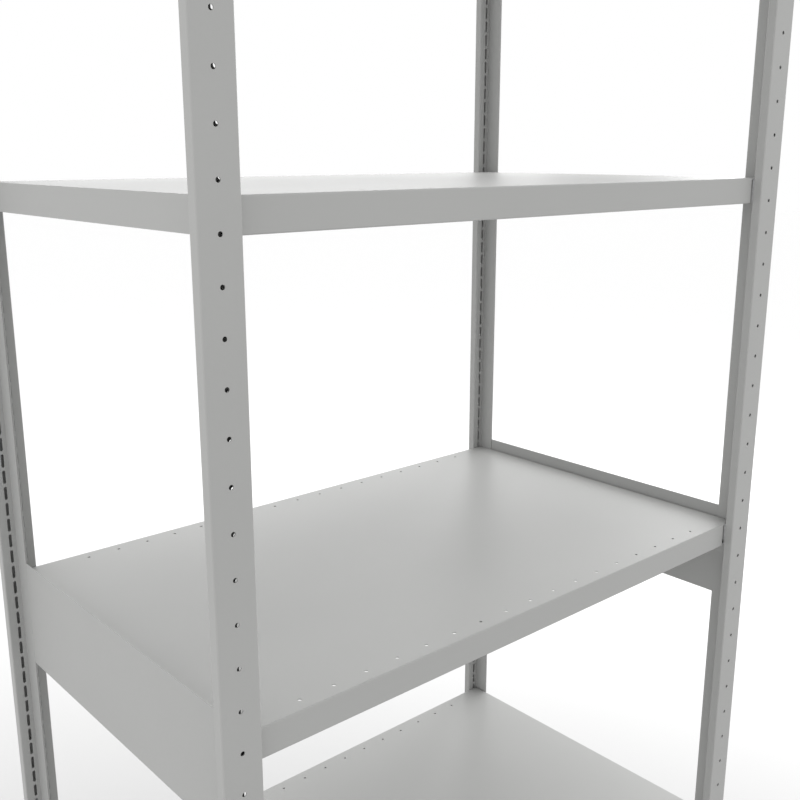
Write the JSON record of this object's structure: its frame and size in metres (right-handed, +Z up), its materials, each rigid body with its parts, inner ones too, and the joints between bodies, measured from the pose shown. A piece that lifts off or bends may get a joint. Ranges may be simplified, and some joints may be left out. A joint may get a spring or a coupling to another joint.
{
  "type": "gondola shelving unit",
  "caption": "Open four-post steel shelving bay with slotted T-section posts, lift-off folded tray shelves on hooked clips, deep side panels and levelling feet.",
  "frame": {"origin": "bottom centre of the whole unit, on the floor", "axes": "+X along the shelves to the right as seen from the front, +Y from the front to the back, +Z up"},
  "size_m": [1.052, 0.6316, 2.433],
  "materials": {
    "painted_steel": "satin light grey powder coat",
    "clip_steel": "zinc plated",
    "plated_steel": "zinc plated",
    "foot_steel": "zinc plated stud and pressed pad",
    "cap_plastic": "moulded grey plastic"
  },
  "bodies": {
    "frame": {"post_front_left": "painted_steel", "post_front_right": "painted_steel", "post_back_left": "painted_steel", "post_back_right": "painted_steel", "post_cap_front_left": "cap_plastic", "post_cap_front_right": "cap_plastic", "post_cap_back_left": "cap_plastic", "post_cap_back_right": "cap_plastic", "foot_bracket_front_left": "painted_steel", "foot_bracket_front_right": "painted_steel", "foot_bracket_back_left": "painted_steel", "foot_bracket_back_right": "painted_steel", "foot_bolts": "plated_steel", "foot_nuts": "plated_steel", "shelf_1_clips": "clip_steel", "shelf_2_clips": "clip_steel", "shelf_3_clips": "clip_steel", "shelf_4_clips": "clip_steel", "shelf_5_clips": "clip_steel", "side_panel_3_left": "painted_steel", "side_panel_3_right": "painted_steel", "side_panel_5_left": "painted_steel", "side_panel_5_right": "painted_steel"},
    "shelf_1_tray": {"shelf_1": "painted_steel", "shelf_1_channel": "painted_steel"},
    "shelf_2_tray": {"shelf_2": "painted_steel", "shelf_2_channel": "painted_steel"},
    "shelf_3_tray": {"shelf_3": "painted_steel", "shelf_3_channel": "painted_steel"},
    "shelf_4_tray": {"shelf_4": "painted_steel", "shelf_4_channel": "painted_steel"},
    "shelf_5_tray": {"shelf_5": "painted_steel", "shelf_5_channel": "painted_steel"},
    "foot_front_left": {"levelling_foot_front_left": "foot_steel"},
    "foot_front_right": {"levelling_foot_front_right": "foot_steel"},
    "foot_back_left": {"levelling_foot_back_left": "foot_steel"},
    "foot_back_right": {"levelling_foot_back_right": "foot_steel"}
  },
  "joints": [
    {"name": "shelf_1_lift", "type": "slide", "parent": "frame", "child": "shelf_1_tray", "axis": [0, 0, 1], "range_m": [0, 0.05]},
    {"name": "shelf_2_lift", "type": "slide", "parent": "frame", "child": "shelf_2_tray", "axis": [0, 0, 1], "range_m": [0, 0.05]},
    {"name": "shelf_3_lift", "type": "slide", "parent": "frame", "child": "shelf_3_tray", "axis": [0, 0, 1], "range_m": [0, 0.05]},
    {"name": "shelf_4_lift", "type": "slide", "parent": "frame", "child": "shelf_4_tray", "axis": [0, 0, 1], "range_m": [0, 0.05]},
    {"name": "shelf_5_lift", "type": "slide", "parent": "frame", "child": "shelf_5_tray", "axis": [0, 0, 1], "range_m": [0, 0.05]},
    {"name": "foot_front_left_screw", "type": "slide", "parent": "frame", "child": "foot_front_left", "axis": [0, 0, -1], "range_m": [0, 0.015]},
    {"name": "foot_front_right_screw", "type": "slide", "parent": "frame", "child": "foot_front_right", "axis": [0, 0, -1], "range_m": [0, 0.015]},
    {"name": "foot_back_left_screw", "type": "slide", "parent": "frame", "child": "foot_back_left", "axis": [0, 0, -1], "range_m": [0, 0.015]},
    {"name": "foot_back_right_screw", "type": "slide", "parent": "frame", "child": "foot_back_right", "axis": [0, 0, -1], "range_m": [0, 0.015]}
  ]
}
